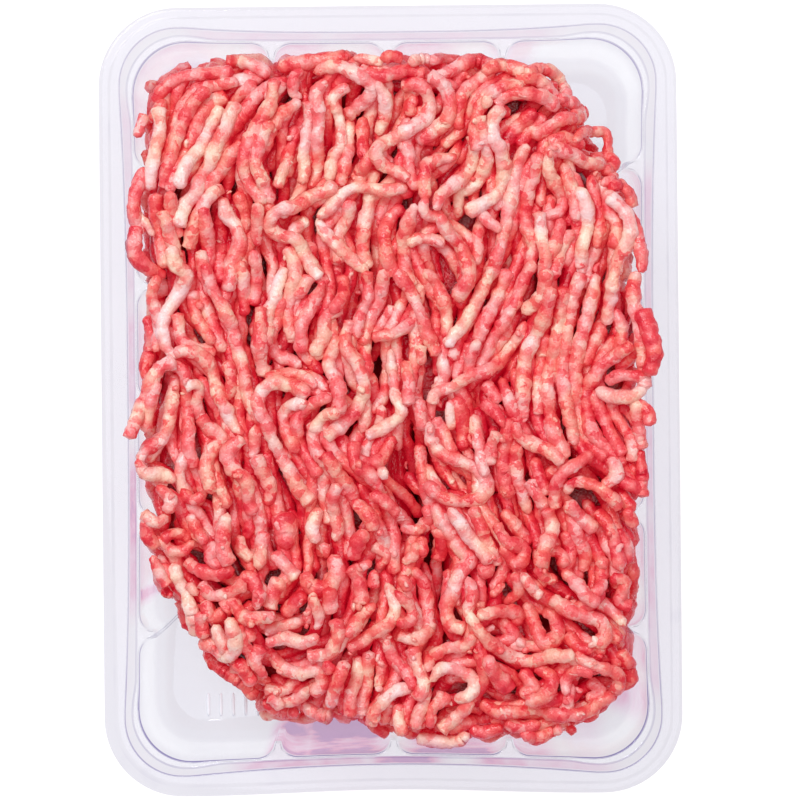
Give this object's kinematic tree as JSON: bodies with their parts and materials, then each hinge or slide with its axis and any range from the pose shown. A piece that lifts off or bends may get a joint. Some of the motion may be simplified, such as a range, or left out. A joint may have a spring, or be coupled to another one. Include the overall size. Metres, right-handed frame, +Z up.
{
  "type": "tray of raw minced meat",
  "caption": "Clear plastic food tray with a flat sealing flange, ledge and pillared walls, holding an uneven heap of raw minced meat strands.",
  "frame": {"origin": "centre of the bounding box in plan, at the underside of the tray's floor", "axes": "+Z up out of the tray, +Y along the tray's long side, +X along its short side"},
  "size_m": [0.137, 0.187, 0.042],
  "materials": {
    "clear_plastic": "clear, glossy thermoformed sheet",
    "raw_meat": "moist raw meat, mottled red and cream"
  },
  "bodies": {
    "root": {"tray": "clear_plastic", "mince": "raw_meat"}
  },
  "joints": []
}
